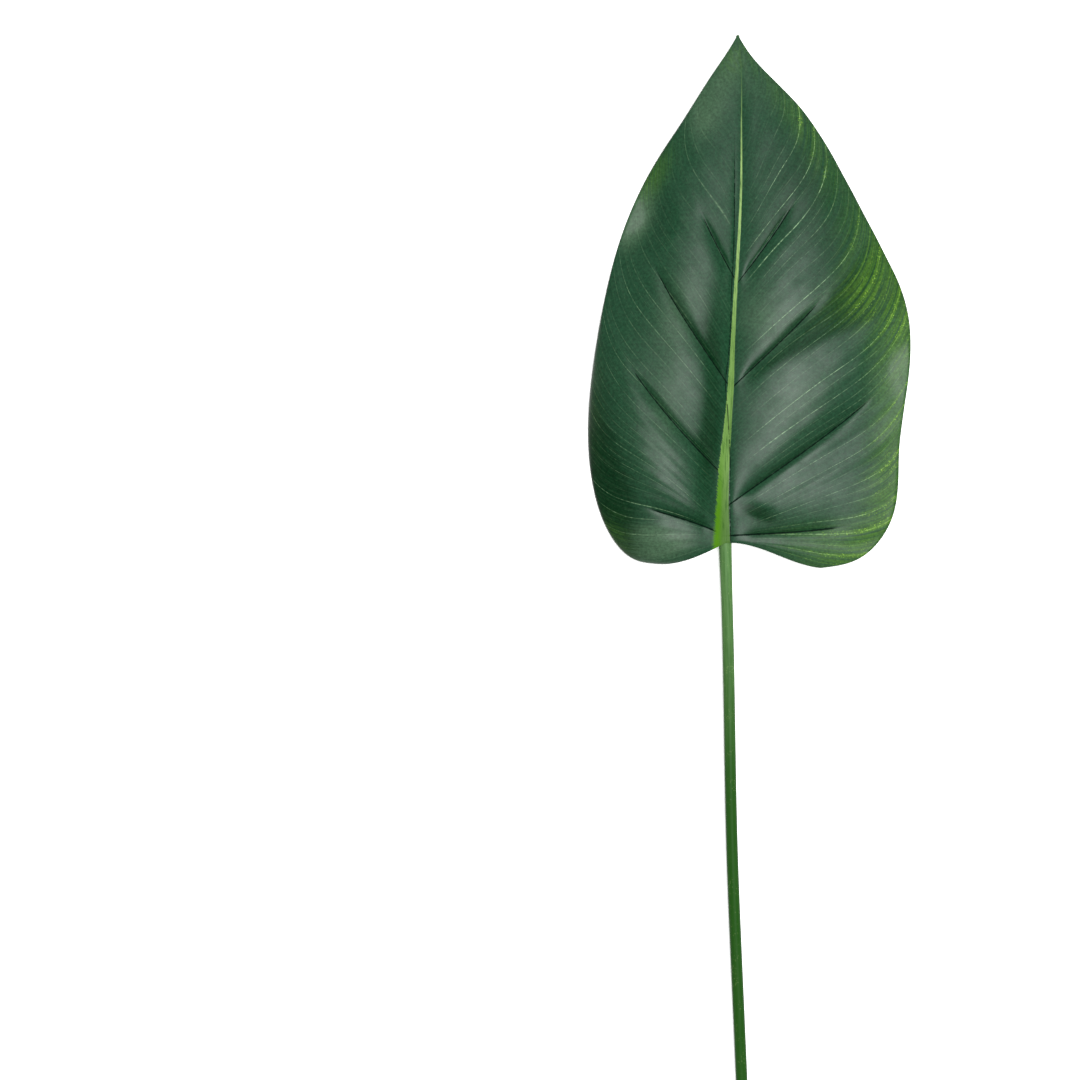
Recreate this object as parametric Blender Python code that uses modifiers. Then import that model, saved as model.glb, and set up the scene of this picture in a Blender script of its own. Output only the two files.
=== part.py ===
"""A philodendron leaf, picked with its stalk and lying on a flat surface, upper side up.

Metres, +Z up. +Y runs from the cut stalk to the tip, and +X is to the right as one looks down on it.
The origin is under the middle of the leaf's box, on the surface that it lies on.

The blade's outline is two margins. Each is a smooth curve from the lowest point of its base lobe,
round the leaf's side, to the tip. Side veins run from the midrib to the margin, and every point of
the blade lies on one of them: it is found from the vein's foot on the midrib and from how far along
the vein it is, 0 at the midrib and 1 at the margin.
"""

import bpy
import bmesh
import numpy as np

MM = 0.001

# Plan of the blade in millimetres, measured from the point where the stalk meets it
BLADE_LENGTH = 285.0
RIGHT_MARGIN = (
    (53.2, -14.0), (73.4, -9.5), (88.3, 4.0), (95.2, 20.0), (97.6, 50.0), (101.4, 80.0), (104.3, 113.0),
    (100.8, 136.1), (91.3, 158.5), (67.8, 203.3), (38.6, 248.1), (12.9, 275.9), (7.3, BLADE_LENGTH),
)
LEFT_MARGIN = (
    (-38.1, -11.8), (-50.4, -9.4), (-64.5, 5.0), (-72.2, 24.5), (-76.5, 55.0), (-73.4, 102.5),
    (-65.0, 147.3), (-58.8, 169.7), (-38.1, 214.5), (-23.0, 237.5), (-8.5, 260.5), (3.4, 278.4),
    (7.3, BLADE_LENGTH),
)
MIDRIB = (
    (0, 0), (0.2, 30), (2.0, 70), (4.2, 110), (6.8, 150), (9.3, 200), (9.8, 250), (7.3, BLADE_LENGTH),
)
STALK_PLAN = ((10.2, -320), (7.3, -253), (3.9, -169), (1.7, -57), (0, 0))

# Guide veins: foot on the midrib, height of the end on the margin, angle to the midrib at each
RIGHT_VEINS = (
    (0, -14.0, 86, 96), (2.4, 1.0, 93, 84), (4, 15.0, 87, 74), (7, 58.0, 74, 53), (20, 103.0, 54, 42),
    (50, 146.0, 48, 32), (86, 178.0, 46, 24), (145, 228.0, 38, 13), (200, 260.0, 28, 5),
    (BLADE_LENGTH, BLADE_LENGTH, 20, 0),
)
LEFT_VEINS = (
    (0, -11.8, 117, 86), (4, 30.5, 64, 64), (8, 75.0, 48, 44), (36, 127.0, 46, 25), (60, 160.0, 39, 18),
    (86, 189.0, 34, 12), (145, 230.0, 29, 9), (205, 256.0, 20, 3), (BLADE_LENGTH, BLADE_LENGTH, 12, 0),
)

# Heights in millimetres of the blade's upper side: along the midrib, and along each margin by the
# share of its length from the lobe to the tip
SPINE_HEIGHT = ((0, 9.3), (40, 10.6), (90, 11.0), (150, 9.6), (220, 6.4), (BLADE_LENGTH, 2.0))
RIGHT_HEIGHT = (
    (0, 6.0), (0.10, 6.5), (0.20, 5.0), (0.29, 2.2), (0.36, 0.9), (0.44, 1.6), (0.52, 3.6),
    (0.62, 2.6), (0.72, 3.6), (0.82, 4.0), (0.91, 3.0), (1, 2.0),
)
LEFT_HEIGHT = (
    (0, 5.0), (0.08, 3.4), (0.17, 1.8), (0.27, 2.6), (0.40, 3.6), (0.50, 3.0), (0.58, 1.6),
    (0.65, 0.9), (0.73, 2.0), (0.82, 3.8), (0.91, 3.2), (1, 2.0),
)

# By the share of the margin's length: the rise of each half's arch, as a share of a vein's span, and
# the power by which the arch comes down at the margin, steeply below 1 and more and more flatly above
RIGHT_ARCH = (
    (0, 0.028), (0.30, 0.034), (0.36, 0.026), (0.46, 0.040), (0.66, 0.048), (0.82, 0.030), (1, 0.015),
)
LEFT_ARCH = (
    (0, 0.060), (0.10, 0.100), (0.26, 0.120), (0.40, 0.094), (0.56, 0.048), (0.80, 0.028), (1, 0.015),
)
RIGHT_FALL = ((0, 1.3), (0.30, 1.3), (0.36, 1.6), (0.50, 1.3), (1, 1.1))
LEFT_FALL = ((0, 0.8), (0.12, 0.7), (0.42, 0.8), (0.62, 1.7), (0.74, 1.1), (1, 1.1))
RIGHT_DROP, LEFT_DROP = 1.3, 2.0            # power by which the half falls from midrib to margin

# Creases that follow a side vein: its foot, share of the vein where the crease starts and ends,
# depth, and width of the flank towards the base and towards the tip (millimetres)
RIGHT_CREASES = (
    (4, 0.06, 0.78, 1.2, 3, 4), (20, 0.03, 0.86, 2.4, 3, 10),
    (86, 0.03, 0.66, 2.0, 7, 3), (145, 0.03, 0.66, 1.8, 6, 3),
)
LEFT_CREASES = (
    (4, 0.08, 0.68, 1.6, 4, 3), (36, 0.05, 0.80, 2.0, 5, 4),
    (86, 0.03, 0.76, 2.2, 8, 3), (145, 0.05, 0.56, 1.8, 6, 3),
)
CREASE_OPENS, CREASE_CLOSES = 0.12, 0.3     # shares of the vein over which a crease deepens and dies out

THICKNESS = 0.9
FEET = ((101.0, 97.0), (-52.4, 183.0))      # places by the margins where the blade lies on the surface
FOOT_FLAT, FOOT_EASE = 6.0, 27.0            # radius that lies flat, and radius where the lift starts

# The stalk, and the keel, which is the part of it that runs on under the blade as its midrib
STALK_SIDES = 10
STALK_RADIUS = 3.25
STALK_TOP_RADIUS = 3.6
TOP_SWELLING = 35.0                         # stretch below the blade over which the stalk thickens
RESTING_LENGTH = 14.0                       # stretch of the stalk's cut end that lies on the surface
LIFT_POWER = 1.4                            # how late the stalk rises from the surface to the blade
KEEL_END_RADIUS = 0.7
KEEL_LENGTH = 250.0
KEEL_POWER = 0.8                            # how late the keel thins on its way to the tip
KEEL_STEP = 9.0
GAP = 0.3                                   # room between the keel and the blade's underside

BASE_PLACE = (-14.0, 17.3)                  # where the stalk meets the blade, in the leaf's own frame

# Grid of the blade: feet where rows crowd, each with the count of rows since the one before, columns
# on each half, and the power that crowds the columns towards the midrib
ROW_STOPS = ((0, 0), (4, 9), (8, 10), (20, 8), (36, 6), (86, 9), (145, 9), (BLADE_LENGTH, 11))
COLUMNS = 14
COLUMN_POWER = 1.15
MARGIN_STEPS = 900
SAME_POINT = 0.001
SHARP_ANGLE = 50


def clear_scene():
    """Remove whatever the new file came with."""
    for item in list(bpy.data.objects):
        bpy.data.objects.remove(item, do_unlink=True)


def make_material(name, colour, roughness):
    """A plain Principled material."""
    material = bpy.data.materials.new(name)
    material.use_nodes = True
    shader = material.node_tree.nodes["Principled BSDF"]
    shader.inputs["Base Color"].default_value = (*colour, 1)
    shader.inputs["Roughness"].default_value = roughness
    shader.inputs["Metallic"].default_value = 0
    return material


def smoothstep(start, end, at):
    """0 before start, 1 after end, and a smooth rise between."""
    share = np.clip((at - start) / (end - start), 0, 1)
    return share * share * (3 - 2 * share)


def natural_spline(knots, values, at):
    """The curve that a thin lath takes when it is held at the knots: cubic pieces of equal bend."""
    knots, values = np.asarray(knots, float), np.asarray(values, float)
    count = len(knots)
    step = np.diff(knots)
    balance, pull = np.eye(count), np.zeros(count)
    for i in range(1, count - 1):
        balance[i, i - 1:i + 2] = step[i - 1], 2 * (step[i - 1] + step[i]), step[i]
        pull[i] = 6 * ((values[i + 1] - values[i]) / step[i] - (values[i] - values[i - 1]) / step[i - 1])
    bend = np.linalg.solve(balance, pull)
    i = np.clip(np.searchsorted(knots, at) - 1, 0, count - 2)
    before = (knots[i + 1] - at) / step[i]
    after = 1 - before
    sag = ((before ** 3 - before) * bend[i] + (after ** 3 - after) * bend[i + 1]) * step[i] ** 2 / 6
    return before * values[i] + after * values[i + 1] + sag


def steady_curve(knots, values, at):
    """A smooth curve through the knots that never swings past them."""
    knots, values = np.asarray(knots, float), np.asarray(values, float)
    step = np.diff(knots)
    slope = np.diff(values) / step
    tangent = np.concatenate(([slope[0]], np.zeros(len(step) - 1), [slope[-1]]))
    for i in range(1, len(step)):
        if slope[i - 1] * slope[i] > 0:
            near, far = 2 * step[i] + step[i - 1], step[i] + 2 * step[i - 1]
            tangent[i] = (near + far) / (near / slope[i - 1] + far / slope[i])
    at = np.clip(at, knots[0], knots[-1])
    i = np.clip(np.searchsorted(knots, at) - 1, 0, len(step) - 1)
    share = (at - knots[i]) / step[i]
    return (values[i] * (1 + 2 * share) * (1 - share) ** 2 + values[i + 1] * share ** 2 * (3 - 2 * share)
            + step[i] * share * (1 - share) * (tangent[i] * (1 - share) - tangent[i + 1] * share))


class Half:
    """One half of the blade: its margin, its side veins and its heights."""

    def __init__(self, sign, margin, veins, creases, heights, arch, fall, drop):
        margin = np.array(margin)
        spans = np.linalg.norm(np.diff(margin, axis=0), axis=1)
        knots = np.concatenate(([0], np.cumsum(spans)))
        fine = np.linspace(0, knots[-1], MARGIN_STEPS)
        self.line = np.stack([natural_spline(knots, margin[:, k], fine) for k in (0, 1)], axis=1)
        run = np.concatenate(([0], np.cumsum(np.linalg.norm(np.diff(self.line, axis=0), axis=1))))
        self.share = run / run[-1]
        self.foot, self.end, self.start_angle, self.end_angle = np.array(veins, float).T
        self.end_share = np.interp(self.end, self.line[:, 1], self.share)
        self.creases = creases
        self.heights = np.array(heights, float)
        self.arch, self.fall, self.drop = np.array(arch, float), np.array(fall, float), drop
        self.sign = sign

    def share_of(self, foot):
        """Share of the margin's length at which the side vein from a foot ends."""
        return steady_curve(self.foot, self.end_share, foot)

    def margin_point(self, share):
        """Plan point on the margin at a share of its length."""
        return np.stack([np.interp(share, self.share, self.line[:, k]) for k in (0, 1)], axis=-1)

    def vein_point(self, foot, along):
        """Plan point on the side vein from a foot: a cubic curve that leaves and arrives at its angles."""
        leave = np.radians(steady_curve(self.foot, self.start_angle, foot))
        arrive = np.radians(steady_curve(self.foot, self.end_angle, foot))
        start, stop = midrib_point(foot), self.margin_point(self.share_of(foot))
        reach = np.linalg.norm(stop - start, axis=-1)[..., None] / 3
        first = start + reach * np.stack([self.sign * np.sin(leave), np.cos(leave)], axis=-1)
        second = stop - reach * np.stack([self.sign * np.sin(arrive), np.cos(arrive)], axis=-1)
        q = along[..., None]
        return (start * (1 - q) ** 3 + 3 * first * q * (1 - q) ** 2
                + 3 * second * q ** 2 * (1 - q) + stop * q ** 3)

    def crease_depth(self, foot, along, point):
        """Depth of the creases: each is deepest on its vein and dies out with distance from it."""
        depth = np.zeros_like(foot)
        for crease_foot, start, end, deepest, base_width, tip_width in self.creases:
            on_crease = self.vein_point(np.full_like(foot, crease_foot), along)
            distance = np.linalg.norm(point - on_crease, axis=-1)
            width = np.where(foot > crease_foot, tip_width, base_width)
            opened = smoothstep(start, start + CREASE_OPENS, along)
            closed = smoothstep(end - CREASE_CLOSES, end, along)
            depth += deepest * opened * (1 - closed) * np.exp(-distance / width)
        return depth

    def height(self, foot, along, point):
        """Height of the upper side: a fall from midrib to margin, plus the arch, less the creases."""
        share = self.share_of(foot)
        spine = natural_spline(*np.array(SPINE_HEIGHT).T, foot)
        margin = natural_spline(*self.heights.T, share)
        span = np.linalg.norm(self.margin_point(share) - midrib_point(foot), axis=-1)
        rise, fall = steady_curve(*self.arch.T, share), steady_curve(*self.fall.T, share)
        top = 1 / (1 + fall)
        arch = along * (1 - along) ** fall / (top * (1 - top) ** fall)
        level = spine + (margin - spine) * along ** self.drop + rise * span * arch
        return level - self.crease_depth(foot, along, point)


def midrib_point(y):
    """Plan point of the midrib at a distance up the blade."""
    x, knots = np.array(MIDRIB, float).T
    return np.stack([natural_spline(knots, x, y), y], axis=-1)


def press_feet(point, height):
    """Bring the upper side down round each foot, so that the underside lies on the surface."""
    for foot in FEET:
        distance = np.linalg.norm(point - np.array(foot), axis=-1)
        pressed = 1 - smoothstep(FOOT_FLAT, FOOT_EASE, distance)
        height = height + (THICKNESS - height) * pressed
    return height


def blade_surface(across, foot):
    """Points of the upper side, from -1 at the left margin through 0 at the midrib to 1 at the right."""
    left = Half(-1, LEFT_MARGIN, LEFT_VEINS, LEFT_CREASES, LEFT_HEIGHT, LEFT_ARCH, LEFT_FALL, LEFT_DROP)
    right = Half(
        1, RIGHT_MARGIN, RIGHT_VEINS, RIGHT_CREASES, RIGHT_HEIGHT, RIGHT_ARCH, RIGHT_FALL, RIGHT_DROP)
    points = np.zeros((len(foot), 3))
    for half in (left, right):
        mine = across * half.sign >= 0
        along = np.abs(across[mine])
        plan = half.vein_point(foot[mine], along)
        points[mine, :2] = plan
        points[mine, 2] = press_feet(plan, half.height(foot[mine], along, plan))
    return points


def row_feet():
    """Feet of the rows of vertices: between two creases they crowd towards both."""
    feet = [0.0]
    for (start, _), (end, count) in zip(ROW_STOPS, ROW_STOPS[1:]):
        turn = np.linspace(0, np.pi, count + 1)[1:]
        feet.extend(start + (end - start) * (1 - np.cos(turn)) / 2)
    return np.array(feet)


def finish_object(name, mesh, material, collection):
    """An object for a finished mesh, smooth but for its sharp edges."""
    mesh.shade_smooth()
    mesh.set_sharp_from_angle(angle=np.radians(SHARP_ANGLE))
    mesh.materials.append(material)
    item = bpy.data.objects.new(name, mesh)
    collection.objects.link(item)
    return item


def make_blade(material, collection):
    """The blade: a grid laid over the veins, given its thickness downwards."""
    feet = row_feet()
    grid = bmesh.new()
    bmesh.ops.create_grid(grid, x_segments=2 * COLUMNS, y_segments=len(feet) - 1, size=1)
    place = np.array([vert.co[:2] for vert in grid.verts])
    across = np.sign(place[:, 0]) * np.abs(place[:, 0]) ** COLUMN_POWER
    row = np.rint((place[:, 1] + 1) / 2 * (len(feet) - 1)).astype(int)
    points = blade_surface(across, feet[row]) + np.array((*BASE_PLACE, 0))
    for vert, point in zip(grid.verts, points):
        vert.co = point * MM
    bmesh.ops.remove_doubles(grid, verts=grid.verts, dist=SAME_POINT * MM)
    bmesh.ops.triangulate(grid, faces=grid.faces)
    mesh = bpy.data.meshes.new("blade")
    grid.to_mesh(mesh)
    grid.free()
    blade = finish_object("blade", mesh, material, collection)
    wall = blade.modifiers.new("thickness", "SOLIDIFY")
    wall.thickness = THICKNESS * MM
    wall.offset = -1
    return blade


def stalk_route():
    """Points and radii of the stalk and the midrib: lying at the cut end, then along under the blade."""
    plan = np.array(STALK_PLAN, float)
    start = plan[0, 1]
    stalk_y = np.concatenate(([start, start + RESTING_LENGTH], np.linspace(start + 40, -22, 11), [-9, 0]))
    keel_y = np.concatenate((np.arange(8, KEEL_LENGTH, KEEL_STEP), [KEEL_LENGTH]))
    thinning = (1 - keel_y / KEEL_LENGTH) ** KEEL_POWER
    keel_radius = KEEL_END_RADIUS + (STALK_TOP_RADIUS - KEEL_END_RADIUS) * thinning
    spine = natural_spline(*np.array(SPINE_HEIGHT).T, np.concatenate(([0], keel_y)))
    top_height = spine[0] - THICKNESS - GAP - STALK_TOP_RADIUS
    lift = np.clip((stalk_y - start - RESTING_LENGTH) / -(start + RESTING_LENGTH), 0, 1) ** LIFT_POWER
    swelling = smoothstep(-TOP_SWELLING, 0, stalk_y)
    stalk_radius = STALK_RADIUS + (STALK_TOP_RADIUS - STALK_RADIUS) * swelling
    lying = STALK_RADIUS * np.cos(np.pi / STALK_SIDES)
    stalk_z = lying + (top_height - lying) * lift
    stalk_x = natural_spline(plan[:, 1], plan[:, 0], stalk_y)
    keel = np.column_stack((midrib_point(keel_y), spine[1:] - THICKNESS - GAP - keel_radius))
    route = np.concatenate((np.column_stack((stalk_x, stalk_y, stalk_z)), keel))
    return route, np.concatenate((stalk_radius, keel_radius))


def make_stalk(material, collection):
    """The stalk and the midrib, one tapering rod: a poly curve with a radius at each point."""
    route, radii = stalk_route()
    curve = bpy.data.curves.new("stalk_and_midrib", "CURVE")
    curve.dimensions = "3D"
    curve.bevel_depth = MM
    curve.bevel_resolution = STALK_SIDES // 2 - 2
    curve.use_fill_caps = True
    curve.materials.append(material)
    spline = curve.splines.new("POLY")
    spline.points.add(len(route) - 1)
    spline.use_smooth = True
    for point, place, radius in zip(spline.points, route + np.array((*BASE_PLACE, 0)), radii):
        point.co = (*(place * MM), 1)
        point.radius = radius
    stalk = bpy.data.objects.new("stalk_and_midrib", curve)
    collection.objects.link(stalk)
    return stalk


def main():
    clear_scene()
    collection = bpy.data.collections.new("philodendron_leaf")
    bpy.context.scene.collection.children.link(collection)
    make_blade(make_material("blade_green", (0.036, 0.100, 0.055), 0.42), collection)
    make_stalk(make_material("stalk_green", (0.070, 0.245, 0.060), 0.45), collection)


main()
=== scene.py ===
# %% [markdown]
# A philodendron leaf, cell by cell
#
# The leaf lies on a pale floor and the camera looks straight down on it. Two pieces make it: the
# dark green blade, and the pale stalk that runs on under the blade as its midrib. Both could be
# modelled by hand, but here each is a surface worked out with numpy, because its outline, its veins
# and its paint then come from the same few tables. The frame that is loaded first holds the same
# leaf as plain solids, and every size here agrees with it.

import bpy
import numpy as np
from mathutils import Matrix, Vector


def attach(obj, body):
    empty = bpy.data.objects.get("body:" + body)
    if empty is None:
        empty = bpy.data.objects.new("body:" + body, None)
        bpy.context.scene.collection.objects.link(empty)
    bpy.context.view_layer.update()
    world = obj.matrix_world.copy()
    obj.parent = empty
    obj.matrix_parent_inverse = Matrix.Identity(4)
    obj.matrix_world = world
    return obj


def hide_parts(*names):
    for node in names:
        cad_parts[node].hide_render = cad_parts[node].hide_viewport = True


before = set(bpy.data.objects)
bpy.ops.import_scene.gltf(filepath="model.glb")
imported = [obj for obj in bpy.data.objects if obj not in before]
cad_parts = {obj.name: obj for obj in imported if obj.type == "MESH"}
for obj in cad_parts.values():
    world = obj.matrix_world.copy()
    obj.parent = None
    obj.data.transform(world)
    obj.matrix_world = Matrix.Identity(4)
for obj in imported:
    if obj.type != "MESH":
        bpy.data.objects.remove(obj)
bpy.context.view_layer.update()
MM = 0.001

# %% [markdown]
# The camera comes first, because everything is judged through it. It stands straight above the
# leaf. A flat camera without perspective would do nearly as well, but a photograph of something
# this flat is made with a long lens from well back, so a long lens is used. The lens is worked out
# from the width of the view at the leaf: sensor width times distance, over the width of the view.

# %% Camera
VIEW_WIDTH = 603.4 * MM
VIEW_CENTRE = (-117.6 * MM, 19.0 * MM)
LEAF_LEVEL = 8.0 * MM
CAMERA_DISTANCE = 1.9
SENSOR = 36.0

camera_data = bpy.data.cameras.new("camera")
camera_data.sensor_width = SENSOR
camera_data.lens = SENSOR * CAMERA_DISTANCE / VIEW_WIDTH
camera = bpy.data.objects.new("camera", camera_data)
camera.location = (*VIEW_CENTRE, LEAF_LEVEL + CAMERA_DISTANCE)
bpy.context.scene.collection.objects.link(camera)
bpy.context.scene.camera = camera
print("lens, mm:", round(camera_data.lens, 1))

# %% [markdown]
# Three small curve helpers do all the drawing. Blender's own curves could, but plain functions work
# on whole arrays at once. A natural spline bends like a thin lath, and suits outlines. A steady
# curve never swings past its points, and suits shares and angles. Smoothstep eases from 0 to 1, and
# suits masks.

# %% Curve helpers
def smoothstep(start, end, at):
    """0 before start, 1 after end, and three share squared less two share cubed between."""
    share = np.clip((at - start) / (end - start), 0, 1)
    return share * share * (3 - 2 * share)


def natural_spline(knots, values, at):
    """Cubic pieces whose slope and bend agree at each knot, with no bend at the two ends."""
    knots, values = np.asarray(knots, float), np.asarray(values, float)
    count = len(knots)
    step = np.diff(knots)
    slope = np.diff(values) / step
    balance, pull = np.eye(count), np.zeros(count)
    for i in range(1, count - 1):
        balance[i, i - 1:i + 2] = step[i - 1], 2 * (step[i - 1] + step[i]), step[i]
        pull[i] = 6 * (slope[i] - slope[i - 1])
    bend = np.linalg.solve(balance, pull)
    i = np.clip(np.searchsorted(knots, at) - 1, 0, count - 2)
    before = (knots[i + 1] - at) / step[i]
    after = 1 - before
    sag = ((before ** 3 - before) * bend[i] + (after ** 3 - after) * bend[i + 1]) * step[i] ** 2 / 6
    return before * values[i] + after * values[i + 1] + sag


def steady_curve(knots, values, at):
    """Cubic pieces whose slope at a knot is a weighted harmonic mean of the two slopes beside it.

    Where those two slopes differ in sign, the slope at the knot is 0, so no piece overshoots.
    """
    knots, values = np.asarray(knots, float), np.asarray(values, float)
    step = np.diff(knots)
    slope = np.diff(values) / step
    tangent = np.concatenate(([slope[0]], np.zeros(len(step) - 1), [slope[-1]]))
    for i in range(1, len(step)):
        if slope[i - 1] * slope[i] > 0:
            near, far = 2 * step[i] + step[i - 1], step[i] + 2 * step[i - 1]
            tangent[i] = (near + far) / (near / slope[i - 1] + far / slope[i])
    at = np.clip(at, knots[0], knots[-1])
    i = np.clip(np.searchsorted(knots, at) - 1, 0, len(step) - 1)
    share = (at - knots[i]) / step[i]
    level = values[i] * (1 + 2 * share) * (1 - share) ** 2
    level = level + values[i + 1] * share ** 2 * (3 - 2 * share)
    lean = tangent[i] * (1 - share) - tangent[i + 1] * share
    return level + step[i] * share * (1 - share) * lean


print("a spline through 0, 1 and 0, halfway to its top:", natural_spline((0, 1, 2), (0, 1, 0), 0.5))

# %% [markdown]
# The leaf's plan is drawn in millimetres from the point where the stalk meets the blade. A traced
# outline would give the edge alone. Here each margin runs from the lowest point of a base lobe to
# the tip through a dozen points, and guide veins say where a side vein leaves the midrib, where it
# ends on the margin and at which angles, so that the veins shape the inside too.

# %% Plan of the blade
BLADE_LENGTH = 285.0
BASE_PLACE = np.array((-14.0, 17.3))
MIDRIB = (
    (0, 0), (0.2, 30), (2.0, 70), (4.2, 110), (6.8, 150), (9.3, 200), (9.8, 250),
    (7.3, BLADE_LENGTH),
)
RIGHT_MARGIN = (
    (53.2, -14.0), (73.4, -9.5), (88.3, 4.0), (95.2, 20.0), (97.6, 50.0), (101.4, 80.0),
    (104.3, 113.0), (100.8, 136.1), (91.3, 158.5), (67.8, 203.3), (38.6, 248.1), (12.9, 275.9),
    (7.3, BLADE_LENGTH),
)
LEFT_MARGIN = (
    (-38.1, -11.8), (-50.4, -9.4), (-64.5, 5.0), (-72.2, 24.5), (-76.5, 55.0), (-73.4, 102.5),
    (-65.0, 147.3), (-58.8, 169.7), (-38.1, 214.5), (-23.0, 237.5), (-8.5, 260.5), (3.4, 278.4),
    (7.3, BLADE_LENGTH),
)
# Foot on the midrib, height of the end on the margin, angle to the midrib at foot and at end
RIGHT_VEINS = (
    (0, -14.0, 86, 96), (2.4, 1.0, 93, 84), (4, 15.0, 87, 74), (7, 58.0, 74, 53),
    (20, 103.0, 54, 42), (50, 146.0, 48, 32), (86, 178.0, 46, 24), (145, 228.0, 38, 13),
    (200, 260.0, 28, 5), (BLADE_LENGTH, BLADE_LENGTH, 20, 0),
)
LEFT_VEINS = (
    (0, -11.8, 117, 86), (4, 30.5, 64, 64), (8, 75.0, 48, 44), (36, 127.0, 46, 25),
    (60, 160.0, 39, 18), (86, 189.0, 34, 12), (145, 230.0, 29, 9), (205, 256.0, 20, 3),
    (BLADE_LENGTH, BLADE_LENGTH, 12, 0),
)
print("guide veins on the right and left:", len(RIGHT_VEINS), len(LEFT_VEINS))

# %% [markdown]
# Heights make the leaf a body and not a cut-out. The midrib lies in a valley, each half arches up
# from it and falls to the margin, and the margins rise and dip a little. Two dips touch the floor,
# and with the stalk's end they carry the leaf. Pressed creases follow the main side veins. A cloth
# simulation could sag a sheet like this, but tables put each rise where the light shows it.

# %% Heights and creases
SPINE_HEIGHT = ((0, 9.3), (40, 10.6), (90, 11.0), (150, 9.6), (220, 6.4), (BLADE_LENGTH, 2.0))
# Share of the margin, and its height there in millimetres
RIGHT_HEIGHT = (
    (0, 6.0), (0.10, 6.5), (0.20, 5.0), (0.29, 2.2), (0.36, 0.9), (0.44, 1.6), (0.52, 3.6),
    (0.62, 2.6), (0.72, 3.6), (0.82, 4.0), (0.91, 3.0), (1, 2.0),
)
LEFT_HEIGHT = (
    (0, 5.0), (0.08, 3.4), (0.17, 1.8), (0.27, 2.6), (0.40, 3.6), (0.50, 3.0), (0.58, 1.6),
    (0.65, 0.9), (0.73, 2.0), (0.82, 3.8), (0.91, 3.2), (1, 2.0),
)
# Share of the margin, and the arch's rise as a share of the half's width there
RIGHT_ARCH = (
    (0, 0.028), (0.30, 0.034), (0.36, 0.026), (0.46, 0.040), (0.66, 0.048), (0.82, 0.030),
    (1, 0.015),
)
LEFT_ARCH = (
    (0, 0.060), (0.10, 0.100), (0.26, 0.120), (0.40, 0.094), (0.56, 0.048), (0.80, 0.028),
    (1, 0.015),
)
RIGHT_FALL = ((0, 1.3), (0.30, 1.3), (0.36, 1.6), (0.50, 1.3), (1, 1.1))
LEFT_FALL = ((0, 0.8), (0.12, 0.7), (0.42, 0.8), (0.62, 1.7), (0.74, 1.1), (1, 1.1))
RIGHT_DROP, LEFT_DROP = 1.3, 2.0
# Foot, share of the vein where it starts and ends, depth, width towards the base and the tip
RIGHT_CREASES = (
    (4, 0.06, 0.78, 1.2, 3, 4), (20, 0.03, 0.86, 2.4, 3, 10),
    (86, 0.03, 0.66, 2.0, 7, 3), (145, 0.03, 0.66, 1.8, 6, 3),
)
LEFT_CREASES = (
    (4, 0.08, 0.68, 1.6, 4, 3), (36, 0.05, 0.80, 2.0, 5, 4),
    (86, 0.03, 0.76, 2.2, 8, 3), (145, 0.05, 0.56, 1.8, 6, 3),
)
CREASE_OPENS, CREASE_CLOSES = 0.12, 0.3
THICKNESS = 0.9
FEET = ((101.0, 97.0), (-52.4, 183.0))
FOOT_FLAT, FOOT_EASE = 6.0, 27.0
print("creases on the right and left:", len(RIGHT_CREASES), len(LEFT_CREASES))

# %% [markdown]
# A real leaf's tissue is ordered by its side veins, so each half of the blade is described by them.
# A point is named by the foot of the vein it lies on and by its share of the way along that vein.
# A square grid over the plan would be simpler, but with this one the outline, the arch, the creases
# and the paint all follow the veins.

# %% One half of the blade
MARGIN_STEPS = 900


def midrib_point(y):
    """Plan point of the midrib at a distance up the blade."""
    x, knots = np.array(MIDRIB, float).T
    return np.stack([natural_spline(knots, x, y), y], axis=-1)


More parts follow.
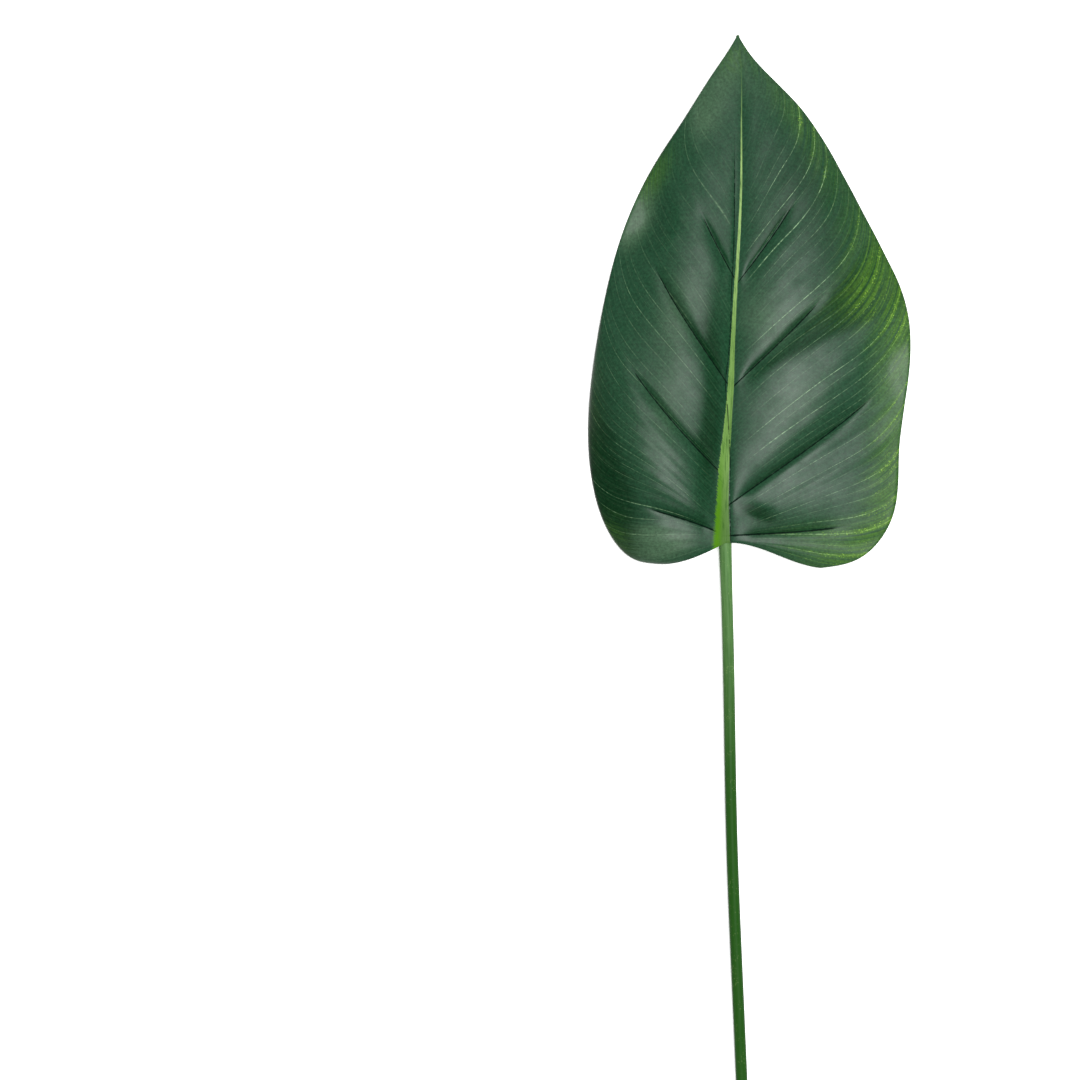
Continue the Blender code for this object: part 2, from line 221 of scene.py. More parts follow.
class Half:
    """One half of the blade: its margin, its side veins and its heights."""

    def __init__(self, sign, margin, veins, creases, heights, arch, fall, drop):
        margin = np.array(margin)
        spans = np.linalg.norm(np.diff(margin, axis=0), axis=1)
        knots = np.concatenate(([0], np.cumsum(spans)))
        fine = np.linspace(0, knots[-1], MARGIN_STEPS)
        self.line = np.stack([natural_spline(knots, margin[:, k], fine) for k in (0, 1)], axis=1)
        run = np.concatenate(([0], np.cumsum(np.linalg.norm(np.diff(self.line, axis=0), axis=1))))
        self.length = run[-1]
        self.share = run / self.length
        self.foot, self.end, self.start_angle, self.end_angle = np.array(veins, float).T
        self.end_share = np.interp(self.end, self.line[:, 1], self.share)
        self.creases = creases
        self.heights = np.array(heights, float)
        self.arch, self.fall, self.drop = np.array(arch, float), np.array(fall, float), drop
        self.sign = sign

    def share_of(self, foot):
        """Share of the margin's length at which the side vein from a foot ends."""
        return steady_curve(self.foot, self.end_share, foot)

    def margin_point(self, share):
        """Plan point on the margin at a share of its length."""
        return np.stack([np.interp(share, self.share, self.line[:, k]) for k in (0, 1)], axis=-1)

    def vein_point(self, foot, along):
        """Plan point on a side vein: a Bezier curve whose handles are a third of its span.

        The first handle leaves the midrib at the vein's first angle, the second ends at its last.
        """
        leave = np.radians(steady_curve(self.foot, self.start_angle, foot))
        arrive = np.radians(steady_curve(self.foot, self.end_angle, foot))
        start, stop = midrib_point(foot), self.margin_point(self.share_of(foot))
        reach = np.linalg.norm(stop - start, axis=-1)[..., None] / 3
        first = start + reach * np.stack([self.sign * np.sin(leave), np.cos(leave)], axis=-1)
        second = stop - reach * np.stack([self.sign * np.sin(arrive), np.cos(arrive)], axis=-1)
        q = along[..., None]
        return (start * (1 - q) ** 3 + 3 * first * q * (1 - q) ** 2
                + 3 * second * q ** 2 * (1 - q) + stop * q ** 3)

    def crease_parts(self, foot, along, point):
        """For each crease: its depth, its window along the vein, and the distance from it.

        The depth is the deepest, times the window, times e to the power of minus distance over
        width. The window opens after the crease's start and closes before its end.
        """
        for crease_foot, start, end, deepest, base_width, tip_width in self.creases:
            on_crease = self.vein_point(np.full_like(foot, crease_foot), along)
            distance = np.linalg.norm(point - on_crease, axis=-1)
            width = np.where(foot > crease_foot, tip_width, base_width)
            window = smoothstep(start, start + CREASE_OPENS, along)
            window = window * (1 - smoothstep(end - CREASE_CLOSES, end, along))
            yield deepest * window * np.exp(-distance / width), window, distance

    def height(self, foot, along, point):
        """Height of the upper side: a fall from midrib to margin, plus the arch, less the creases.

        The fall is the share along the vein to a power. The arch is that share times what is left
        of it to another power, over the same at its top, so that it rises to 1 there.
        """
        share = self.share_of(foot)
        spine = natural_spline(*np.array(SPINE_HEIGHT).T, foot)
        margin = natural_spline(*self.heights.T, share)
        span = np.linalg.norm(self.margin_point(share) - midrib_point(foot), axis=-1)
        rise, fall = steady_curve(*self.arch.T, share), steady_curve(*self.fall.T, share)
        top = 1 / (1 + fall)
        arch = along * (1 - along) ** fall / (top * (1 - top) ** fall)
        level = spine + (margin - spine) * along ** self.drop + rise * span * arch
        return level - sum(depth for depth, _, _ in self.crease_parts(foot, along, point))


LEFT = Half(
    -1, LEFT_MARGIN, LEFT_VEINS, LEFT_CREASES, LEFT_HEIGHT, LEFT_ARCH, LEFT_FALL, LEFT_DROP)
RIGHT = Half(
    1, RIGHT_MARGIN, RIGHT_VEINS, RIGHT_CREASES, RIGHT_HEIGHT, RIGHT_ARCH, RIGHT_FALL, RIGHT_DROP)
print("margins, mm:", RIGHT.length.round(1), LEFT.length.round(1))

# %% [markdown]
# The grid has a row for every side vein that is drawn and a column for every step from margin to
# margin. Even rows would blur the creases unless there were very many. So rows crowd towards each
# crease, which gives the fold a sharp floor, and columns crowd towards the midrib, where the stripe
# and its fold line are. Whole arrays hold every point at once.

# %% Rows and columns
# Foot of a stop, and the count of rows from the stop before it
ROW_STOPS = (
    (0, 0), (4, 28), (8, 28), (20, 26), (36, 18), (86, 34), (145, 34), (BLADE_LENGTH, 44),
)
COLUMNS = 104
ROW_CROWDING = 0.45
COLUMN_CROWDING = 1.25


def row_feet():
    """Feet of the rows: part even steps, part a cosine that crowds them towards both stops."""
    feet = [0.0]
    for (start, _), (end, count) in zip(ROW_STOPS, ROW_STOPS[1:]):
        turn = np.linspace(0, np.pi, count + 1)[1:]
        even = turn / np.pi
        crowded = (1 - np.cos(turn)) / 2
        share = ROW_CROWDING * crowded + (1 - ROW_CROWDING) * even
        feet.extend(start + (end - start) * share)
    return np.array(feet)


feet = row_feet()
across = np.linspace(-1, 1, 2 * COLUMNS + 1)
across = np.sign(across) * np.abs(across) ** COLUMN_CROWDING
FOOT, ALONG = np.meshgrid(feet, np.abs(across), indexing="ij")
IS_LEFT = np.broadcast_to(across < 0, FOOT.shape)
print("grid:", FOOT.shape)


def on_halves(function):
    """Work a function out on each half and join the two answers."""
    left, right = function(LEFT), function(RIGHT)
    mask = IS_LEFT if left.ndim == 2 else IS_LEFT[..., None]
    return np.where(mask, left, right)


PLAN = on_halves(lambda half: half.vein_point(FOOT, ALONG))
SHARE = on_halves(lambda half: half.share_of(FOOT))

# %% [markdown]
# The lighter stripe along the midrib is a colour first, and only a slight swelling. It is wide where
# the stalk comes in and narrows to a thread. A fold line runs beside it: on its right near the
# base, crossing it a quarter of the way up, and then on its left. Each could be a thin piece of its
# own, but one skin with numbers on it has no seams. The numbers are distances from their middles.

# %% Stripe and fold line
STRIPE_MIDDLE = (
    (-14, -2.4), (0, -2.2), (22, -1.7), (44, -0.8), (58, 0.4), (73, 1.7), (88, 2.8), (108, 3.8),
    (143, 5.7), (172, 7.6), (205, 8.9), (240, 9.1), (269, 8.9), (BLADE_LENGTH, 7.3),
)
STRIPE_WIDTH = (
    (-14, 11.0), (0, 9.6), (22, 7.0), (44, 5.8), (58, 4.9), (73, 3.9), (90, 3.4), (108, 2.5),
    (140, 2.0), (180, 1.4), (210, 1.0), (248, 0.6), (BLADE_LENGTH, 0.4),
)
FOLD_LINE = (
    (-14, 3.0), (2, 2.8), (22, 2.3), (54, 2.2), (66, 1.5), (77, 0.8), (86, -0.1), (99, 0.9),
    (116, 2.5), (140, 3.3), (158, 4.2), (177, 4.9), (209, 5.1), (240, 5.5), (BLADE_LENGTH, 7.0),
)
FOLD_DEPTH, FOLD_WIDTH = 0.5, 0.9
FOLD_FADES, FOLD_SHALLOWS, SHALLOWER = (200, 235), (120, 170), 0.6
STRIPE_RISE, STRIPE_EDGE, STRIPE_SINKS = 0.12, (0.75, 1.25), (150, 230)

right_of = PLAN[..., 0]
up = PLAN[..., 1]
half_stripe = steady_curve(*np.array(STRIPE_WIDTH).T, up) / 2
STRIPE = (right_of - natural_spline(*np.array(STRIPE_MIDDLE).T, up)) / half_stripe
FOLD = right_of - natural_spline(*np.array(FOLD_LINE).T, up)
FOLD_WINDOW = 1 - smoothstep(*FOLD_FADES, up)

fold_depth = FOLD_DEPTH * FOLD_WINDOW * (1 - SHALLOWER * smoothstep(*FOLD_SHALLOWS, up))
fold = fold_depth * np.exp(-np.abs(FOLD) / FOLD_WIDTH)
ridge = STRIPE_RISE * (1 - smoothstep(*STRIPE_EDGE, np.abs(STRIPE)))
ridge = ridge * (1 - smoothstep(*STRIPE_SINKS, up))
print("points on the stripe:", int((np.abs(STRIPE) < 1).sum()))

# %% [markdown]
# Fine side veins lie between the creases, about a centimetre apart at the margin. Their number
# along the margin is kept as a coordinate, and the veins' colour is drawn from it later. Modelled
# one by one they would need a far finer grid. Here they only quilt the blade by less than a tenth
# of a millimetre, so that light catches them.

# %% Fine veins
LEFT_VEIN_COUNT, RIGHT_VEIN_COUNT = 25, 27
VEIN_PRESS = 0.07
VEIN_BULGE, BULGE_TOP = 0.65, 0.082
BULGE_GROWS, BULGE_ENDS = 0.3, 0.25


def vein_number(share, along, count):
    """Share of the margin times the count of veins, plus a bulge that peaks four fifths of the way
    out: along to the fourth power times what is left. It sweeps the veins up towards the tip."""
    bulge = VEIN_BULGE * along ** 4 * (1 - along) / BULGE_TOP
    bulge = bulge * np.clip(share / BULGE_GROWS, 0, 1) * np.clip((1 - share) / BULGE_ENDS, 0, 1)
    return share * count + bulge


VEIN_NUMBER = vein_number(SHARE, ALONG, np.where(IS_LEFT, LEFT_VEIN_COUNT, RIGHT_VEIN_COUNT))
vein_window = smoothstep(0.1, 0.5, ALONG) * (1 - smoothstep(0.88, 0.99, ALONG))
quilt = VEIN_PRESS * np.cos(2 * np.pi * VEIN_NUMBER) * vein_window
print("quilting, mm:", quilt.min().round(2), "to", quilt.max().round(2))

# %% [markdown]
# A leaf's margin ripples a little, and this one has a short pinch in the skin right of the base.
# Both could be sculpted by hand, but a sine along the margin and one bell-shaped dent do it. The two
# resting places are pressed flat, as the floor presses them, and what lies on them fades out there.

# %% Ripple, pinch and resting places
RIPPLE, RIPPLES, RIPPLE_STARTS = 0.35, 13, (0.9, 2.1)
PINCH_PLACE, PINCH_REACH, PINCH_SLANT, PINCH_DEPTH = (20.0, 17.5), (10.0, 4.0), 3.0, 1.1

ripple = RIPPLE * np.sin(2 * np.pi * SHARE * RIPPLES + np.where(IS_LEFT, *RIPPLE_STARTS))
ripple = ripple * smoothstep(0.7, 1, ALONG)
ripple = ripple * smoothstep(0, 0.1, SHARE) * (1 - smoothstep(0.9, 1, SHARE))
pinch_x = (right_of - PINCH_PLACE[0]) / PINCH_REACH[0]
pinch_y = (up - PINCH_PLACE[1] + PINCH_SLANT * pinch_x) / PINCH_REACH[1]
pinch = PINCH_DEPTH * np.exp(-pinch_x ** 2 - pinch_y ** 2)

height = on_halves(lambda half: half.height(FOOT, ALONG, PLAN)) + ripple
away = [smoothstep(FOOT_FLAT, FOOT_EASE, np.linalg.norm(PLAN - place, axis=-1)) for place in FEET]
for free in away:
    height = height + (THICKNESS - height) * (1 - free)
foot_free = np.min(away, axis=0)
height = height - (quilt + pinch) * foot_free - fold + ridge
print("skin over the floor, mm:", height.min().round(2), "to", height.max().round(2))

# %% [markdown]
# The upper side is now a sheet of points. A Solidify modifier could thicken it, but both sides are
# needed as arrays here. So the underside is the same sheet moved one thickness along the surface's
# own direction, which is the cross product of the steps along the rows and columns. Near the
# margin the two sides draw together, so that the rim is soft and not a cut slab.

# %% Upper side and underside
RIM_DRAW, RIM_REACH = 0.28, 1.4
HALF_WIDTHS = (75, 100)
TINY = 1e-9

UPPER = np.dstack((PLAN + BASE_PLACE, height))
facing = np.cross(np.gradient(UPPER, axis=1), np.gradient(UPPER, axis=0))
size = np.linalg.norm(facing, axis=-1, keepdims=True)
facing = np.where(size > TINY, facing / np.maximum(size, TINY), (0, 0, 1))
tip_facing = facing[-2].mean(axis=0)
facing[-1] = tip_facing / np.linalg.norm(tip_facing)
LOWER = UPPER - THICKNESS * facing
LOWER[..., 2] = np.maximum(LOWER[..., 2], 0)

near_rim = np.maximum(1 - (1 - ALONG) * np.where(IS_LEFT, *HALF_WIDTHS) / RIM_REACH, 0)
base_gap = np.abs(UPPER[..., 1] - UPPER[:1, :, 1])
near_rim = np.maximum(near_rim, 1 - np.minimum(base_gap / RIM_REACH, 1)) ** 2
UPPER[..., 2] -= RIM_DRAW * near_rim
LOWER[..., 2] += RIM_DRAW * near_rim * foot_free
print("blade heights, mm:", UPPER[..., 2].min().round(2), "to", UPPER[..., 2].max().round(2))

# %% [markdown]
# Paint that follows the leaf is worked out per point and stored as named attributes: how far a
# point is from the stripe, the fold line and the nearest crease, how much painted shade and painted
# sheen it gets for the light on its slopes, and how dull or yellow the skin is there. A painted
# picture wrapped on the blade would hold the same, but it blurs close up, while the shader can turn
# these distances into crisp edges. Lengths are in millimetres.

# %% Patches of paint
# Each patch: strength, place right of and up from the base, reach across and up, turn in degrees
# Painted shade: patches that darken the skin where its slopes turn away from the light.
PAINTED_SHADE_PATCHES = (
    (2.2, -70, 20, 17, 40, 8), (0.5, -74, 75, 10, 35, 0), (0.9, -9, 58, 7, 36, -4),
    (0.5, -8, 118, 8, 30, -4), (1.1, 18, 17, 10, 3.5, -20), (0.45, 45, 200, 22, 34, 30),
    (0.35, 64, 150, 16, 30, 35),
)
DULL_PATCHES = (
    (0.35, 101, 97, 18, 20, 0), (0.2, -52.4, 183, 12, 14, -20), (0.9, -70, 30, 18, 36, 8),
    (1.1, -9, 52, 8, 44, -6), (1.0, -3, 120, 10, 40, -4), (0.4, 70, 12, 34, 20, 0),
    (0.5, 34, 12, 26, 16, 0), (0.6, 18, 17, 9, 4, -20), (0.35, -34, 66, 20, 44, 0),
    (-0.5, -9, 248, 12, 18, 0), (-0.45, -48, 184, 10, 18, -20),
)
# Painted sheen: greyish light patches where the flats shine under the soft box.
PAINTED_SHEEN_PATCHES = (
    (0.35, -34, 70, 15, 42, -12), (0.4, -26, 132, 14, 26, -18), (1.4, -50, 184, 9, 18, -20),
    (0.5, 22, 125, 18, 22, 40), (0.35, 38, 78, 30, 16, 45), (1.6, -42, 0, 20, 9, 0),
    (0.2, 60, 20, 34, 22, 0), (0.5, 60, -4, 36, 12, 0), (1.0, -9, 246, 11, 20, -20),
    (0.5, 5, 272, 9, 12, 0), (0.35, 20, 254, 12, 14, 0), (0.9, 94, 88, 14, 36, 0),
)
WARM_PATCHES = (
    (0.7, -40, 206, 8, 20, -30), (0.5, 3, 272, 10, 12, 0), (0.5, -64, 2, 12, 16, 30),
    (0.5, 60, -2, 38, 15, 0), (0.2, 44, 232, 8, 30, 30), (0.2, -74, 80, 7, 44, 0),
    (0.4, 72, 138, 14, 34, -58),
)
WARM_MARGIN_PATCHES = ((0.7, 94, 138, 32, 44, 0), (0.6, 98, 26, 26, 54, 0))


def painted(patches):
    """The sum of soft round patches, each its strength times a bell curve.

    The curve is e to the power of minus u squared minus v squared. Here u and v are the distances
    from the patch's middle along its turned axes, over its reaches.
    """
    total = np.zeros_like(FOOT)
    for strength, x, y, across_reach, up_reach, turn in patches:
        cosine, sine = np.cos(np.radians(turn)), np.sin(np.radians(turn))
        dx, dy = right_of - x, up - y
        u = (dx * cosine + dy * sine) / across_reach
        v = (dy * cosine - dx * sine) / up_reach
        total += strength * np.exp(-u * u - v * v)
    return total


# Painted sheen, mixed in later as a greyish lighter green.
PAINTED_SHEEN = painted(PAINTED_SHEEN_PATCHES)
print("lightest patch:", PAINTED_SHEEN.max().round(2))

# %% [markdown]
# Three more things steer the paint. A painted shadow lies on the flank of each crease, a wedge of
# painted shade lies on the right between a rising line and the side vein above it, and the right
# margin is yellowed. Each is worked out from the vein coordinates, because it follows the veins and
# no simple patch could.

# %% Paint that follows the veins
FAR = 99.0
FLANK_REACH = 6.0
WEDGE_UP, WEDGE_SLOPE, WEDGE_EDGE, WEDGE_FOOT = 83, 0.49, (-4, 6), (87, 78)
FOLD_DULL_REACH = 1.5


def crease_paint(half):
    """Distance to the nearest crease, how much that crease shows, and the painted shadow on its
    flank towards the tip.

    The painted shadow fades as e to the power of minus distance over reach, on the tip's side alone.
    """
    nearest, shown, flank = np.full_like(FOOT, FAR), np.zeros_like(FOOT), np.zeros_like(FOOT)
    parts = half.crease_parts(FOOT, ALONG, PLAN)
    for (foot, _, end, *_), (_, window, distance) in zip(half.creases, parts):
        shown = np.where(distance < nearest, 1 - smoothstep(end - CREASE_CLOSES, end, ALONG), shown)
        nearest = np.minimum(distance, nearest)
        flank += window * np.exp(-distance / FLANK_REACH) * (FOOT > foot)
    return np.dstack((nearest, shown, flank))


CREASE, CREASED, PAINTED_CREASE_SHADOW = np.moveaxis(on_halves(crease_paint), -1, 0)
margin_run = np.where(IS_LEFT, 0, smoothstep(0.55, 1.0, ALONG))
PAINTED_SHADE_WEDGE = smoothstep(*WEDGE_EDGE, up - WEDGE_UP - WEDGE_SLOPE * right_of)
PAINTED_SHADE_WEDGE = np.where(IS_LEFT, 0, PAINTED_SHADE_WEDGE * smoothstep(*WEDGE_FOOT, FOOT))
PAINTED_SHADE_WEDGE = PAINTED_SHADE_WEDGE * (1 - 0.5 * smoothstep(0.6, 0.95, ALONG))
fold_dull = np.exp(-(FOLD / FOLD_DULL_REACH) ** 2)
fold_dull = fold_dull * smoothstep(70, 100, up) * (1 - smoothstep(150, 200, up))

# Painted shade: the flanks of the creases, the wedge and the dark patches, where slopes turn from
# the light.
PAINTED_SHADE = 0.85 * PAINTED_CREASE_SHADOW + 0.7 * PAINTED_SHADE_WEDGE + painted(PAINTED_SHADE_PATCHES)
WARM = margin_run * (0.3 + painted(WARM_MARGIN_PATCHES)) + painted(WARM_PATCHES)
DULL = painted(DULL_PATCHES) + 0.8 * PAINTED_SHADE_WEDGE + 0.5 * PAINTED_CREASE_SHADOW + 0.8 * fold_dull
DULL = np.clip(DULL + 0.3 * smoothstep(120, 190, up), 0, 1)

VEIN_SHOW = smoothstep(0.05, 0.3, ALONG) * smoothstep(0, 0.04, SHARE)
VEIN_SHOW = VEIN_SHOW * (1 - smoothstep(0.84, 0.95, SHARE))
left_fade = 0.5 * smoothstep(0.5, 0.7, SHARE) + 0.4 * (1 - smoothstep(0.15, 0.3, SHARE))
VEIN_SHOW = VEIN_SHOW * np.where(IS_LEFT, 0.85 * (1 - left_fade), 1)
print("darkest tone:", PAINTED_SHADE.max().round(2), "warmest:", WARM.max().round(2))

# %% [markdown]
# A mesh could be built face by face with bmesh, but with this many faces it is filled in one go
# with foreach_set. Corners of the upper side are numbered by row and column, the underside gets the
# same faces turned over, and a band of faces closes the rim. The last row shrinks to the tip, so it
# is one shared point with triangles round it.

# %% Blade mesh
rows, columns = FOOT.shape
upper_index = np.arange(rows * columns).reshape(rows, columns)
upper_index[-1, :] = upper_index[-1, 0]
lower_index = upper_index + rows * columns


def sheet_faces(index):
    """Faces between neighbouring rows and columns, each split alike into two triangles."""
    a, b, c, d = index[:-1, :-1], index[:-1, 1:], index[1:, 1:], index[1:, :-1]
    first, second = np.stack((a, b, c), axis=-1), np.stack((a, c, d), axis=-1)
    first, second = first.reshape(-1, 3), second[:-1].reshape(-1, 3)
    return np.concatenate((first, second))


def rim_faces():
    """A closed band between the two sides: up the right margin, down the left, along the base."""
    right = [(r, columns - 1) for r in range(rows)]
    left = [(r, 0) for r in range(rows - 2, -1, -1)]
    base = [(0, c) for c in range(1, columns - 1)]
    loop = np.array(right + left + base)
    top, under = upper_index[loop[:, 0], loop[:, 1]], lower_index[loop[:, 0], loop[:, 1]]
    top_next, under_next = np.roll(top, -1), np.roll(under, -1)
    return np.concatenate((np.stack((top, under, under_next), axis=-1),
                           np.stack((top, under_next, top_next), axis=-1)))


upper_faces = sheet_faces(upper_index)
lower_faces = sheet_faces(lower_index)[:, ::-1]
faces = np.concatenate((upper_faces, lower_faces, rim_faces()))
points = np.concatenate((UPPER.reshape(-1, 3), LOWER.reshape(-1, 3))) * MM


def mesh_from_arrays(name, points, faces):
    """A mesh from arrays of points and triangles, without the points that no face uses."""
    used, faces = np.unique(faces, return_inverse=True)
    faces = faces.reshape(-1, 3)
    mesh = bpy.data.meshes.new(name)
    mesh.vertices.add(len(used))
    mesh.vertices.foreach_set("co", points[used].astype(np.float32).ravel())
    mesh.loops.add(faces.size)
    mesh.loops.foreach_set("vertex_index", faces.astype(np.int32).ravel())
    mesh.polygons.add(len(faces))
    mesh.polygons.foreach_set("loop_start", np.arange(0, faces.size, 3, dtype=np.int32))
    mesh.update(calc_edges=True)
    mesh.validate()
    mesh.shade_smooth()
    return mesh, used


def add_attribute(mesh, name, values):
    """One number for each point, which the shader reads by name."""
    mesh.attributes.new(name, "FLOAT", "POINT").data.foreach_set("value", values.astype(np.float32))


blade_mesh, used = mesh_from_arrays("leaf_blade", points, faces)
# Of these, the shade numbers are painted shade and the light numbers painted sheen, for the light on
# the slopes.
paint = {
    "stripe": STRIPE, "fold": FOLD, "fold_window": FOLD_WINDOW, "crease": CREASE,
    "creased": CREASED, "vein_show": VEIN_SHOW, "painted_shade": PAINTED_SHADE, "light": PAINTED_SHEEN, "warm": WARM,
    "dull": DULL,
}
for name, values in paint.items():
    add_attribute(blade_mesh, name, np.tile(values.ravel(), 2)[used])
print("blade triangles:", len(blade_mesh.polygons))

# %% [markdown]
# The shader has to know which vein it is near. Each face corner carries a vein number and a share
# along the vein, as texture coordinates. Corners hold them and not points, because the points on
# the midrib belong to both halves, and the halves count their veins separately.

# %% Blade coordinates
RIGHT_NUMBERS_FROM = 100


def corner_veins():
    """Vein number and share along the vein for each face corner, by the half its face lies in."""
    corner = faces % (rows * columns)
    row, column = corner // columns, corner % columns
    row_is_tip = row == rows - 1
    middle = np.where(row_is_tip, -1, column).max(axis=1, keepdims=True)
    lowest = np.where(row_is_tip, columns, column).min(axis=1, keepdims=True)
    is_left = (lowest + middle) / 2 < COLUMNS
    out = np.abs(across)[np.where(row_is_tip, COLUMNS, column)]
    left = vein_number(LEFT.share_of(feet)[row], out, LEFT_VEIN_COUNT)
    right = vein_number(RIGHT.share_of(feet)[row], out, RIGHT_VEIN_COUNT)
    return np.stack((np.where(is_left, left, right + RIGHT_NUMBERS_FROM), out), axis=-1)


blade_uv = blade_mesh.uv_layers.new(name="veins")
blade_uv.data.foreach_set("uv", corner_veins().astype(np.float32).ravel())
print("corners with vein coordinates:", len(blade_uv.data))

blade = bpy.data.objects.new("leaf_blade", blade_mesh)
bpy.context.scene.collection.objects.link(blade)
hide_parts("blade")
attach(blade, "root")

# %% [markdown]
# The stalk is round, a little thicker where it meets the blade, and runs on beneath as the raised
# midrib, thinning to the tip. Its cut end lies on the floor. A curve with a bevel could draw it, but
# its radius and height follow the blade's own formulas, so its path is worked out like them.

# %% Stalk path
STALK_LENGTH, STALK_RADIUS, STALK_TOP_RADIUS = 320.0, 3.25, 3.6
KEEL_LENGTH, KEEL_END_RADIUS = 250.0, 0.7
STALK_PLAN = ((-STALK_LENGTH, 10.2), (-253, 7.3), (-169, 3.9), (-57, 1.7), (0, 0))
TOP_SWELLING = 35.0
KEEL_POWER, LIFT_POWER = 0.8, 1.4
RESTING_LENGTH = 14.0
KEEL_SINK = 0.45


def stalk_path(y):
    """Middle of the stalk at each distance up the leaf, and its radius, in millimetres.

    Under the blade it hangs from the midrib's skin, and its radius shrinks with a power of what is
    left to the tip. Below the blade its height is the resting height plus the whole rise times a
    power of the share of the way from the resting end.
    """
    keel_left = 1 - np.clip(y / KEEL_LENGTH, 0, 1)
    keel_radius = KEEL_END_RADIUS + (STALK_TOP_RADIUS - KEEL_END_RADIUS) * keel_left ** KEEL_POWER
    swelling = smoothstep(-TOP_SWELLING, 0, y)
    stalk_radius = STALK_RADIUS + (STALK_TOP_RADIUS - STALK_RADIUS) * swelling
    radius = np.where(y > 0, keel_radius, stalk_radius)
    spine = natural_spline(*np.array(SPINE_HEIGHT).T, np.maximum(y, 0))
    top = spine - THICKNESS + KEEL_SINK - radius
    resting_end = STALK_LENGTH - RESTING_LENGTH
    lift = np.clip((y + resting_end) / resting_end, 0, 1) ** LIFT_POWER
    below = natural_spline(*np.array(STALK_PLAN).T, np.minimum(y, 0))
    x = np.where(y > 0, midrib_point(np.maximum(y, 0))[..., 0], below)
    z = np.where(y > 0, top, STALK_RADIUS + (top - STALK_RADIUS) * lift)
    return np.stack((x, y, z), axis=-1), radius


print("stalk's middle where it meets the blade, mm:", stalk_path(np.zeros(1))[0].round(1))

# %% [markdown]
# A knife leaves a cut end flat with a soft edge, and it dishes a little as it dries. A flat cap
# would do for a view from afar. Here a few rings close the end: some turn the soft edge, and the
# others shrink to the middle of the dish. Beyond them rings stand along the whole path.

# %% Stations along the stalk
CUT_EDGE, EDGE_DRAW, EDGE_RINGS = 0.35, 0.1, 5
CUT_DISH, DISH_FROM, DISH_RINGS = 0.5, 0.8, 8
STALK_RINGS, KEEL_RINGS, KEEL_FROM, KEEL_TIP = 190, 110, 2, 0.6


def closing_rings():
    """Shares of the radius and steps outwards for the rings that close the cut.

    The edge is a quarter turn: its step is the sine, its draw one minus the cosine. The dish is as
    deep as its depth times one minus the share squared.
    """
    quarter = np.linspace(0, np.pi / 2, EDGE_RINGS)
    edge = np.sin(quarter) * CUT_EDGE
    inner = np.linspace(DISH_FROM, 0, DISH_RINGS)
    shares = np.concatenate((1 - EDGE_DRAW * (1 - np.cos(quarter)), inner))
    steps = np.concatenate((edge, edge[-1] - CUT_DISH * (1 - inner ** 2)))
    return shares[:0:-1], steps[:0:-1]


shares, steps = closing_rings()
edge_y = -STALK_LENGTH + CUT_EDGE
stalk_y = np.linspace(edge_y, 0, STALK_RINGS)
keel_y = np.linspace(KEEL_FROM, KEEL_LENGTH, KEEL_RINGS)
station_y = np.concatenate((edge_y - steps, stalk_y, keel_y, [KEEL_LENGTH + KEEL_TIP]))
station_share = np.concatenate((shares, np.ones(STALK_RINGS + KEEL_RINGS), [0.0]))
print("rings along the stalk:", len(station_y))

# %% [markdown]
# The stalk's surface is a row of rings, one at each station, each square to the path. Two
# directions across the path and the sine and cosine of the turn place the points. Cylinders joined
# end to end would show their joins, and these rings share their points.

# %% Stalk surface
SIDES = 40

middle, radius = stalk_path(station_y)
run = np.gradient(middle, axis=0)
run /= np.linalg.norm(run, axis=1, keepdims=True)
side = np.cross(run, (0, 0, 1))
side /= np.linalg.norm(side, axis=1, keepdims=True)
rise = np.cross(side, run)
turn = np.linspace(0, 2 * np.pi, SIDES, endpoint=False)
sweep = np.cos(turn)[None, :, None] * side[:, None] + np.sin(turn)[None, :, None] * rise[:, None]
stalk_points = middle[:, None] + (radius * station_share)[:, None, None] * sweep
stalk_points[..., :2] += BASE_PLACE
stalk_points[..., 2] = np.maximum(stalk_points[..., 2], 0.0)

stations = len(station_y)
ring_index = np.arange(stations * SIDES).reshape(stations, SIDES)
ring_index[0, :], ring_index[-1, :] = ring_index[0, 0], ring_index[-1, 0]
wrapped = np.concatenate((ring_index, ring_index[:, :1]), axis=1)
a, b, c, d = wrapped[:-1, :-1], wrapped[:-1, 1:], wrapped[1:, 1:], wrapped[1:, :-1]
stalk_faces = np.concatenate((np.stack((a, b, c), axis=-1)[1:].reshape(-1, 3),
                              np.stack((a, c, d), axis=-1)[:-1].reshape(-1, 3)))
stalk_mesh, used = mesh_from_arrays("leaf_stalk", stalk_points.reshape(-1, 3) * MM, stalk_faces)
print("stalk triangles:", len(stalk_mesh.polygons))

# %% [markdown]
# The stalk's streaks run along it, so its coordinates are the turn round it and the way along it.
# An unwrap would find nearly the same, but here both are known at every corner. Three numbers per
# point tell the shader how far along it is, where the cut is and how near its middle.

# %% Stalk coordinates
CUT_STATIONS = len(shares) - 2
WAY_PER_UNIT = 10

